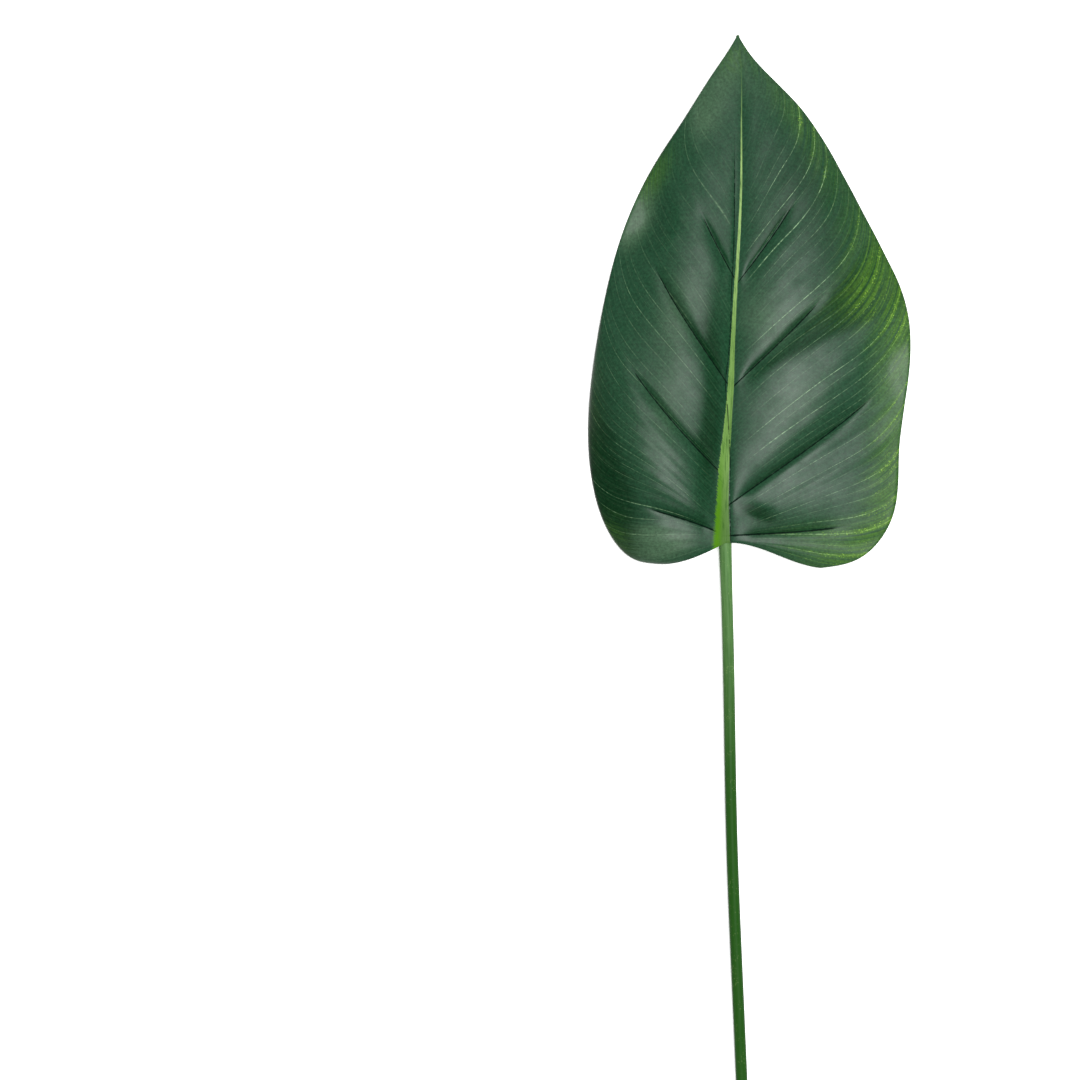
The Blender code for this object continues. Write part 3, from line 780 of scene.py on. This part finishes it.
cut_mask = np.arange(stations) < CUT_STATIONS
for name, values in (("length_mm", station_y), ("cut", cut_mask), ("radial", station_share)):
    add_attribute(stalk_mesh, name, np.repeat(values, SIDES)[used].astype(float))
next_turn = turn + 2 * np.pi / SIDES
first = np.tile(np.stack((turn, next_turn, next_turn), axis=-1), (stations - 2, 1))
second = np.tile(np.stack((turn, next_turn, turn), axis=-1), (stations - 2, 1))
corner_turn = np.concatenate((first, second)) / (2 * np.pi)
corner_way = station_y[stalk_faces // SIDES] / WAY_PER_UNIT
corners = np.stack((corner_turn, corner_way), axis=-1)
stalk_uv = stalk_mesh.uv_layers.new(name="skin")
stalk_uv.data.foreach_set("uv", corners.astype(np.float32).ravel())

stalk = bpy.data.objects.new("leaf_stalk", stalk_mesh)
bpy.context.scene.collection.objects.link(stalk)
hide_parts("stalk_and_midrib")
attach(stalk, "root")
print("corners with stalk coordinates:", len(stalk_uv.data))

# %% [markdown]
# Shaders could be wired by hand in the node editor. Here a small helper adds one node, sets its
# options and feeds its inputs, so that a layer of paint is one line. A value is either a number or
# another node's output. Colours are written as they are seen, from 0 to 255, and turned into the
# linear values that Blender works with.

# %% Shader helpers
def give(tree, node, inputs):
    """Link each named or numbered input to another node's output, or set it to a number."""
    for key, value in inputs.items():
        if isinstance(value, bpy.types.NodeSocket):
            tree.links.new(value, node.inputs[key])
        else:
            node.inputs[key].default_value = value


def feed(tree, kind, inputs=None, **options):
    """Add a node, set its options and give it its inputs."""
    node = tree.nodes.new("ShaderNode" + kind)
    for name, value in options.items():
        setattr(node, name, value)
    give(tree, node, inputs or {})
    return node


def maths(tree, operation, *values):
    """One Math node's result."""
    return feed(tree, "Math", dict(enumerate(values)), operation=operation).outputs[0]


def times(tree, first, second):
    """The product of two values."""
    return maths(tree, "MULTIPLY", first, second)


def noise(tree, place, scale, detail, roughness=0.5):
    """Cloudy noise about one half."""
    inputs = {"Vector": place, "Scale": scale, "Detail": detail, "Roughness": roughness}
    return feed(tree, "TexNoise", inputs).outputs["Fac"]


def eased(tree, value, start, end, low=0.0, high=1.0):
    """A smooth rise from low to high while the value goes from start to end."""
    inputs = {"Value": value, "From Min": start, "From Max": end, "To Min": low, "To Max": high}
    return feed(tree, "MapRange", inputs, interpolation_type="SMOOTHSTEP").outputs["Result"]


def mixed(tree, share, first, second):
    """Two colours mixed by a share. Inputs 6 and 7 are the node's colours, and output 2 is too."""
    return feed(tree, "Mix", {0: share, 6: first, 7: second}, data_type="RGBA").outputs[2]


def attribute(tree, name):
    """A number stored on the mesh."""
    return feed(tree, "Attribute", attribute_name=name).outputs["Fac"]


def object_place(tree):
    """The place on the object, in metres."""
    return feed(tree, "TexCoord").outputs["Object"]


def coordinates(tree, name):
    """The texture coordinates of that name."""
    return feed(tree, "UVMap", uv_map=name).outputs["UV"]


def bumped(tree, relief, strength, distance):
    """The surface's direction, tilted by a relief."""
    inputs = {"Height": relief, "Strength": strength, "Distance": distance}
    return feed(tree, "Bump", inputs).outputs["Normal"]


def seen(red, green, blue):
    """A colour as it is seen, from 0 to 255, in linear values.

    Below a small value it is divided by 12.92, and above it follows the power of 2.4, as the
    display standard has it.
    """
    value = np.array((red, green, blue)) / 255
    linear = np.where(value <= 0.04045, value / 12.92, ((value + 0.055) / 1.055) ** 2.4)
    return (*[float(v) for v in linear], 1.0)


def new_material(name):
    """A material with a Principled shader, which is returned with its tree."""
    material = bpy.data.materials.new(name)
    material.use_nodes = True
    return material, material.node_tree, material.node_tree.nodes["Principled BSDF"]


print("the leaf's deep green in linear values:", [round(v, 3) for v in seen(22, 54, 35)[:3]])

# %% [markdown]
# Plant skin is fibrous: long cells make streaks that run with the veins, and tiny pale dots sit
# between them. The blade, its underside and the stalk all have both, at their own scale. Copies of
# the nodes in each material would drift apart, so the two effects are node groups, built once.

# %% Shared groups
def new_group(name, inputs, outputs):
    """An empty node group with named number or vector sockets, and its ends inside."""
    group = bpy.data.node_groups.new(name, "ShaderNodeTree")
    for label, kind, value in inputs:
        socket = group.interface.new_socket(label, in_out="INPUT", socket_type="NodeSocket" + kind)
        if value is not None:
            socket.default_value = value
    for label in outputs:
        group.interface.new_socket(label, in_out="OUTPUT", socket_type="NodeSocketFloat")
    given, result = group.nodes.new("NodeGroupInput"), group.nodes.new("NodeGroupOutput")
    return group, given.outputs, result.inputs


def build_fibre_group():
    """Streaks: noise that is stretched along the second coordinate."""
    inputs = [("Coordinates", "Vector", None), ("Across", "Float", 8.0), ("Along", "Float", 2.0)]
    tree, given, result = new_group("fibre", inputs, ["Streak", "Fine"])
    scale = feed(tree, "CombineXYZ", {"X": given["Across"], "Y": given["Along"], "Z": 1.0})
    factors = {0: given["Coordinates"], 1: scale.outputs[0]}
    place = feed(tree, "VectorMath", factors, operation="MULTIPLY").outputs[0]
    tree.links.new(noise(tree, place, 1.0, 3.0, 0.6), result["Streak"])
    tree.links.new(noise(tree, place, 3.7, 2.0, 0.6), result["Fine"])
    return tree


def build_speckle_group():
    """Dots: the middles of small cells, kept only where a broader noise is high."""
    inputs = [("Coordinates", "Vector", None), ("Scale", "Float", 500.0), ("Share", "Float", 0.5)]
    tree, given, result = new_group("speckle", inputs, ["Dots"])
    cells = feed(tree, "TexVoronoi", {"Vector": given["Coordinates"], "Scale": given["Scale"]})
    dots = eased(tree, cells.outputs["Distance"], 0.42, 0.12)
    cloud = noise(tree, given["Coordinates"], 160.0, 4.0)
    kept = maths(tree, "SUBTRACT", cloud, maths(tree, "SUBTRACT", 1.0, given["Share"]))
    tree.links.new(times(tree, dots, eased(tree, kept, 0.0, 0.15)), result["Dots"])
    return tree


FIBRE, SPECKLE = build_fibre_group(), build_speckle_group()


def place_group(tree, group, **inputs):
    """A group placed in a material with its own values."""
    return feed(tree, "Group", inputs, node_tree=group).outputs


print("groups:", FIBRE.name, "and", SPECKLE.name)

# %% [markdown]
# Veins are thin pale lines at whole vein numbers, and fainter ones lie halfway between. Tubes of
# their own would be far too fine to model. Each line has a strength drawn from white noise on its
# number, and breaks up along its length. Both sides of the blade show them, so this is a group too.

# %% Vein lines
VEIN_WOBBLE, HALFWAY_FADES = 0.7, 0.7
FAINT_PER_VEIN = 5.0


def build_vein_group():
    """Masks of the side veins, of the tissue beside them and of the faint lines between them.

    A line's mask eases from 1 to 0 with the distance from its vein number to the nearest whole or
    half number. The number wobbles a little with noise, and the streak breaks the line up.
    """
    inputs = [("Coordinates", "Vector", None), ("Streak", "Float", 0.5), ("Shown", "Float", 1.0)]
    tree, given, result = new_group("side_veins", inputs, ["Line", "Beside", "Faint"])
    parts = feed(tree, "SeparateXYZ", {"Vector": given["Coordinates"]}).outputs
    wobble = maths(tree, "SUBTRACT", noise(tree, given["Coordinates"], 1.1, 1.0), 0.5)
    number = maths(tree, "ADD", parts["X"], times(tree, wobble, VEIN_WOBBLE))
    twice = times(tree, number, 2.0)
    whole = maths(tree, "ROUND", twice)
    distance = maths(tree, "ABSOLUTE", maths(tree, "SUBTRACT", twice, whole))
    chance = feed(tree, "TexWhiteNoise", {"W": whole}, noise_dimensions="1D").outputs["Value"]
    between = maths(tree, "MODULO", whole, 2.0)
    strength = times(tree, eased(tree, chance, 0.1, 0.9, 0.2, 1.0),
                     maths(tree, "SUBTRACT", 1.0, times(tree, between, HALFWAY_FADES)))
    strength = times(tree, strength, eased(tree, given["Streak"], 0.33, 0.58, 0.35, 1.0))
    strength = times(tree, strength, given["Shown"])
    tree.links.new(times(tree, eased(tree, distance, 0.045, 0.012), strength), result["Line"])
    tree.links.new(times(tree, eased(tree, distance, 0.5, 0.05), strength), result["Beside"])
    many = times(tree, number, FAINT_PER_VEIN)
    near = maths(tree, "ABSOLUTE", maths(tree, "SUBTRACT", many, maths(tree, "ROUND", many)))
    faint = times(tree, eased(tree, near, 0.3, 0.05), eased(tree, given["Streak"], 0.35, 0.75))
    tree.links.new(faint, result["Faint"])
    return tree


SIDE_VEINS = build_vein_group()


def place_veins(tree, uv):
    """The group of side veins, placed with the streak that breaks its lines up."""
    streak = place_group(tree, FIBRE, Coordinates=uv, Across=3.0, Along=5.0)["Streak"]
    shown = attribute(tree, "vein_show")
    return place_group(tree, SIDE_VEINS, Coordinates=uv, Streak=streak, Shown=shown)


print("nodes in the group of side veins:", len(SIDE_VEINS.nodes))

# %% [markdown]
# The upper side is deep green with a satin skin. Its paint is put on in layers: the tissue, patches
# of painted shade and painted sheen for the light on its slopes, the yellower margin and the veins.
# One noise picture for all of it would look like cloth, so each layer has a mask of its own.

# %% Green of the blade
# The shade green is painted shade and the soft greyish green painted sheen, both mixed over the deep
# green.
DEEP_GREEN, PAINTED_SHADE_GREEN, PAINTED_SHEEN_GREEN = seen(22, 54, 35), seen(6, 34, 15), seen(60, 84, 62)
WARM_GREEN, WARM_DOT = seen(60, 96, 26), seen(118, 156, 50)
VEIN_GREEN = seen(118, 148, 112)


def leaf_green(tree, uv, place, fibre, dots, veins):
    """Layers of the tissue's colour, painted shade and painted sheen, without creases and stripe,
    each mixed over the last.
    """
    painted_shade, light, warm = (attribute(tree, name) for name in ("painted_shade", "light", "warm"))
    cloud = noise(tree, place, 22.0, 4.0)
    # Painted sheen: a greyish lighter green where the flats would shine, broken up by a cloud.
    lit = times(tree, eased(tree, light, 0.0, 1.0), eased(tree, cloud, 0.3, 0.7, 0.6, 1.1))
    colour = mixed(tree, times(tree, lit, 0.85), DEEP_GREEN, PAINTED_SHEEN_GREEN)
    # Painted shade: darker where slopes and crease flanks turn from the light, streaked by the
    # fibres.
    shade = times(tree, painted_shade, eased(tree, fibre["Streak"], 0.3, 0.7, 0.7, 1.35))
    colour = mixed(tree, times(tree, eased(tree, shade, 0.0, 1.1), 0.85), colour, PAINTED_SHADE_GREEN)
    streak = eased(tree, fibre["Streak"], 0.35, 0.65, 0.1, 1.0)
    yellowed = eased(tree, warm, 0.0, 1.0)
    yellow = times(tree, yellowed, maths(tree, "ADD", streak, veins["Beside"]))
    colour = mixed(tree, times(tree, yellow, 0.65), colour, WARM_GREEN)
    speckled = times(tree, yellowed, maths(tree, "ADD", veins["Beside"], 0.1))
    speckled = times(tree, dots, eased(tree, speckled, 0.0, 0.6))
    colour = mixed(tree, times(tree, speckled, 0.85), colour, WARM_DOT)
    fine = eased(tree, fibre["Fine"], 0.55, 0.8)
    colour = mixed(tree, times(tree, fine, 0.08), colour, VEIN_GREEN)
    colour = mixed(tree, times(tree, veins["Faint"], 0.035), colour, VEIN_GREEN)
    grain = noise(tree, place, 700.0, 4.0, 0.7)
    worth = eased(tree, grain, 0.28, 0.72, 0.72, 1.28)
    colour = feed(tree, "HueSaturation", {"Value": worth, "Color": colour}).outputs["Color"]
    vein = mixed(tree, times(tree, yellowed, 0.8), VEIN_GREEN, WARM_DOT)
    dotted = eased(tree, noise(tree, place, 560.0, 2.0), 0.42, 0.56, 0.3, 1.0)
    return mixed(tree, times(tree, veins["Line"], dotted), colour, vein)

# %% [markdown]
# The bright stripe lies over the tissue. Its edges are crisp but frayed, its left side is yellow
# near the base, fibres run along it, and it fades out before the tip. A strip of mesh would give it
# a hard edge. Here its mask comes from the distance to its middle, in half widths.

# %% Stripe of the blade
STRIPE_GREEN, STRIPE_PALE = seen(94, 126, 64), seen(124, 152, 92)
STRIPE_YELLOW, STRIPE_FIBRE = seen(64, 110, 10), seen(44, 76, 30)


def stripe_paint(tree, uv, place, colour):
    """The stripe laid over a colour, and its mask.

    The mask eases off where the distance from the middle, plus a raggedness from noise, nears 1.
    """
    side = attribute(tree, "stripe")
    height = feed(tree, "SeparateXYZ", {"Vector": place}).outputs["Y"]
    fibre = place_group(tree, FIBRE, Coordinates=place, Across=2400.0, Along=90.0)
    fringe = place_group(tree, FIBRE, Coordinates=uv, Across=16.0, Along=9.0)["Streak"]
    low = eased(tree, height, 0.09, 0.02)
    ragged = times(tree, maths(tree, "SUBTRACT", fringe, 0.5), maths(tree, "ADD", low, 0.35))
    ragged = times(tree, ragged, eased(tree, side, 0.5, -0.5, 0.4, 1.5))
    edge = maths(tree, "ADD", maths(tree, "ABSOLUTE", side), ragged)
    inside = eased(tree, edge, 1.07, 0.9)
    fade = eased(tree, height, 0.285, 0.225, 0.1, 1.0)
    yellow = times(tree, eased(tree, side, 0.3, -0.6), eased(tree, height, 0.085, 0.03))
    paint = mixed(tree, eased(tree, height, 0.12, 0.20), STRIPE_GREEN, STRIPE_PALE)
    paint = mixed(tree, eased(tree, height, 0.07, 0.02, 0.0, 0.6), paint, STRIPE_FIBRE)
    paint = mixed(tree, eased(tree, fibre["Streak"], 0.48, 0.66, 0.0, 0.75), paint, STRIPE_FIBRE)
    paint = mixed(tree, times(tree, yellow, 0.9), paint, STRIPE_YELLOW)
    paint = mixed(tree, eased(tree, fringe, 0.5, 0.75, 0.0, 0.4), paint, STRIPE_FIBRE)
    return mixed(tree, times(tree, inside, fade), colour, paint), inside

# %% [markdown]
# The upper side is finished here. Creases and the fold line get painted shade, darkest at their
# floors. The gloss is a thin coat of wax, like a real leaf's, which is weak where the skin is dull,
# creased or striped. Changing the roughness alone would widen the shine, but not dim it. The finest
# relief is a bump: fibres and dots stand up, and veins lie in.

# %% Upper material
# Near black: the painted shade at the floors of the creases and of the fold line.
PAINTED_FOLD_SHADE = seen(2, 13, 8)
WAX_ROUGHNESS = 0.34


def blade_upper():
    """Material of the upper side and the rim."""
    material, tree, shader = new_material("leaf_upper")
    uv, place = coordinates(tree, "veins"), object_place(tree)
    fibre = place_group(tree, FIBRE, Coordinates=uv, Across=9.0, Along=3.0)
    dots = place_group(tree, SPECKLE, Coordinates=place, Scale=950.0, Share=0.6)["Dots"]
    veins = place_veins(tree, uv)
    colour = leaf_green(tree, uv, place, fibre, dots, veins)
    # Painted shade in the creases and along the fold line, broken up by noise.
    shade_breakup = noise(tree, place, 420.0, 2.0)
    creased = eased(tree, attribute(tree, "creased"), 0.1, 0.6)
    crease = maths(tree, "ADD", attribute(tree, "crease"), times(tree, shade_breakup, 0.8))
    crease = times(tree, eased(tree, crease, 1.2, 0.6), creased)
    colour = mixed(tree, times(tree, crease, 0.92), colour, PAINTED_FOLD_SHADE)
    colour, inside = stripe_paint(tree, uv, place, colour)
    # Painted shade along the fold line.
    fold = maths(tree, "ABSOLUTE", attribute(tree, "fold"))
    folded = times(tree, eased(tree, fold, 0.5, 0.1), attribute(tree, "fold_window"))
    folded = times(tree, folded, eased(tree, shade_breakup, 0.3, 0.5))
    colour = mixed(tree, times(tree, folded, 0.85), colour, PAINTED_FOLD_SHADE)
    rough = eased(tree, fibre["Streak"], 0.3, 0.7, 0.29, 0.38)
    rough = maths(tree, "ADD", rough, times(tree, crease, 0.2))
    dull = maths(tree, "MAXIMUM", attribute(tree, "dull"), maths(tree, "MAXIMUM", crease, folded))
    dull = maths(tree, "MAXIMUM", dull, times(tree, inside, 0.8))
    mottle = eased(tree, noise(tree, place, 70.0, 8.0, 0.65), 0.25, 0.75, 0.7, 1.3)
    wax = times(tree, eased(tree, dull, 0.0, 1.0, 0.26, 0.0), mottle)
    sunk = times(tree, veins["Line"], 0.8)
    relief = maths(tree, "SUBTRACT", times(tree, fibre["Fine"], 0.6), sunk)
    relief = maths(tree, "ADD", relief, times(tree, dots, 0.3))
    give(tree, shader, {
        "Base Color": colour, "Roughness": rough, "Coat Weight": wax,
        "Coat Roughness": WAX_ROUGHNESS, "Specular IOR Level": 0.01,
        "Normal": bumped(tree, relief, 0.5, 0.12 * MM),
    })
    print("nodes on the upper side:", len(tree.nodes))
    return material


blade_mesh.materials.append(blade_upper())

# %% [markdown]
# A leaf's underside is paler and duller, because its skin is thinner and has the pores. The same
# veins show on it, as raised lines. One material for both sides could ask which way a face looks,
# but two are plainer: each face is told which it has.

# %% Underside material
UNDER_GREEN, UNDER_PALE, UNDER_VEIN = seen(64, 102, 60), seen(84, 120, 76), seen(116, 146, 96)


def blade_under():
    """Material of the underside."""
    material, tree, shader = new_material("leaf_under")
    uv, place = coordinates(tree, "veins"), object_place(tree)
    fibre = place_group(tree, FIBRE, Coordinates=uv, Across=9.0, Along=3.0)
    dots = place_group(tree, SPECKLE, Coordinates=place, Scale=900.0, Share=0.6)["Dots"]
    veins = place_veins(tree, uv)
    colour = mixed(tree, eased(tree, fibre["Streak"], 0.35, 0.7), UNDER_GREEN, UNDER_PALE)
    colour = mixed(tree, times(tree, dots, 0.25), colour, UNDER_VEIN)
    colour = mixed(tree, times(tree, veins["Faint"], 0.15), colour, UNDER_VEIN)
    colour = mixed(tree, times(tree, veins["Line"], 0.8), colour, UNDER_VEIN)
    near_midrib = eased(tree, maths(tree, "ABSOLUTE", attribute(tree, "stripe")), 2.4, 0.9)
    colour = mixed(tree, times(tree, near_midrib, 0.7), colour, UNDER_VEIN)
    relief = maths(tree, "ADD", times(tree, veins["Line"], 1.5), fibre["Fine"])
    give(tree, shader, {
        "Base Color": colour, "Roughness": 0.6, "Normal": bumped(tree, relief, 0.6, 0.18 * MM),
    })
    return material


blade_mesh.materials.append(blade_under())
under = np.zeros(len(blade_mesh.polygons), np.int32)
under[len(upper_faces):len(upper_faces) + len(lower_faces)] = 1
blade_mesh.polygons.foreach_set("material_index", under)
print("faces of the underside:", int(under.sum()))

# %% [markdown]
# The stalk is a lighter green with fine lengthwise streaks, and its cut end shows moist pale pith
# with a ring of darker vessel ends. A disc laid on the cut could have its own material, but the
# number stored round the cut changes the paint on the same skin, without a seam.

# %% Stalk material
STALK_GREEN, STALK_PALE, STALK_DARK = seen(20, 63, 8), seen(80, 114, 66), seen(16, 44, 12)
PITH, VESSEL = seen(178, 196, 130), seen(96, 124, 62)


def stalk_skin():
    """Material of the stalk and of its cut end."""
    material, tree, shader = new_material("leaf_stalk_skin")
    uv, place = coordinates(tree, "skin"), object_place(tree)
    fibre = place_group(tree, FIBRE, Coordinates=uv, Across=16.0, Along=0.35)
    dots = place_group(tree, SPECKLE, Coordinates=place, Scale=900.0, Share=0.5)["Dots"]
    length = attribute(tree, "length_mm")
    near_blade = eased(tree, length, -150.0, -5.0, 0.1, 0.95)
    streaked = times(tree, near_blade, eased(tree, fibre["Streak"], 0.35, 0.7, 0.6, 1.0))
    colour = mixed(tree, streaked, STALK_GREEN, STALK_PALE)
    colour = mixed(tree, eased(tree, fibre["Fine"], 0.58, 0.75, 0.0, 0.4), colour, STALK_DARK)
    colour = mixed(tree, times(tree, dots, 0.12), colour, PITH)
    under_blade = eased(tree, length, -10.0, 25.0, 0.0, 0.7)
    colour = mixed(tree, under_blade, colour, UNDER_VEIN)
    radial = attribute(tree, "radial")
    cells = feed(tree, "TexVoronoi", {"Vector": place, "Scale": 1400.0}).outputs["Distance"]
    ring = times(tree, eased(tree, radial, 0.3, 0.7), eased(tree, cells, 0.35, 0.15))
    pith = mixed(tree, times(tree, ring, 0.8), PITH, VESSEL)
    colour = mixed(tree, attribute(tree, "cut"), colour, pith)
    give(tree, shader, {
        "Base Color": colour, "Roughness": eased(tree, fibre["Streak"], 0.3, 0.7, 0.36, 0.48),
        "Specular IOR Level": 0.05, "Normal": bumped(tree, fibre["Streak"], 0.5, 0.25 * MM),
    })
    print("nodes on the stalk:", len(tree.nodes))
    return material


stalk_mesh.materials.append(stalk_skin())

# %% [markdown]
# The floor is pale and plain, with the faintest mottling of a painted board, and it isn't part of
# the leaf. A floor that only catches shadows would leave the leaf hanging in white. This one glows
# a little, as a lit panel does, so that the shadows beside the leaf stay faint. It lies a hair below
# the leaf's feet, so that the two never share a plane.

# %% Floor
FLOOR_HALF, FLOOR_GAP = 3.0, 0.02
FLOOR_GLOW = 0.3
FLOOR_DARK, FLOOR_PALE = seen(243, 243, 242), seen(247, 247, 246)


def make_floor():
    """A broad pale board just under the leaf."""
    mesh = bpy.data.meshes.new("floor")
    signs = ((-1, -1), (1, -1), (1, 1), (-1, 1))
    mesh.from_pydata([(FLOOR_HALF * x, FLOOR_HALF * y, 0) for x, y in signs], [], [(0, 1, 2, 3)])
    material, tree, shader = new_material("floor_paint")
    cloud = noise(tree, object_place(tree), 9.0, 3.0)
    give(tree, shader, {
        "Base Color": mixed(tree, cloud, FLOOR_DARK, FLOOR_PALE), "Roughness": 0.7,
        "Specular IOR Level": 0.1, "Emission Color": (1, 1, 1, 1),
        "Emission Strength": FLOOR_GLOW,
    })
    mesh.materials.append(material)
    floor = bpy.data.objects.new("floor", mesh)
    floor.location.z = -FLOOR_GAP * MM
    bpy.context.scene.collection.objects.link(floor)


make_floor()
print("floor's width, m:", 2 * FLOOR_HALF)

# %% [markdown]
# The light is a large soft box overhead, set a little towards the tip and the right, so that flats
# shine softly and slopes towards the base go dark. A second, dimmer box stands beyond the tip. A sun
# lamp would be simpler, but its shadows are too crisp for this picture. A dim white surround fills
# the shadows, as walls do in a studio, and looks brighter to the camera than it is.

# %% Lights
OVERHEAD, OVERHEAD_AIM = (0.2, 0.08, 1.3), (0.2, 0.08, 0.0)
TIP_SIDE, TIP_SIDE_AIM = (0.5, 1.5, 1.1), (0.0, 0.1, 0.0)
SURROUND, SURROUND_SEEN = 0.4, 0.95


def area_light(name, place, aim, width, power):
    """A square soft box that faces its aim and isn't seen itself."""
    data = bpy.data.lights.new(name, "AREA")
    data.shape, data.size, data.energy = "SQUARE", width, power
    light = bpy.data.objects.new(name, data)
    light.location = place
    direction = Vector(aim) - Vector(place)
    light.rotation_euler = direction.to_track_quat("-Z", "Y").to_euler()
    light.visible_camera = False
    bpy.context.scene.collection.objects.link(light)
    print(name, "light, watts:", power)


area_light("overhead", OVERHEAD, OVERHEAD_AIM, 0.7, 26)
area_light("tip_side", TIP_SIDE, TIP_SIDE_AIM, 0.9, 8)

world = bpy.data.worlds.new("surround")
bpy.context.scene.world = world
world.use_nodes = True
tree = world.node_tree
background = tree.nodes["Background"]
background.inputs["Color"].default_value = (1, 1, 1, 1)
ray = feed(tree, "LightPath").outputs["Is Camera Ray"]
strength = eased(tree, ray, 0.0, 1.0, SURROUND, SURROUND_SEEN)
tree.links.new(strength, background.inputs["Strength"])
bpy.context.scene.view_settings.view_transform = "Standard"
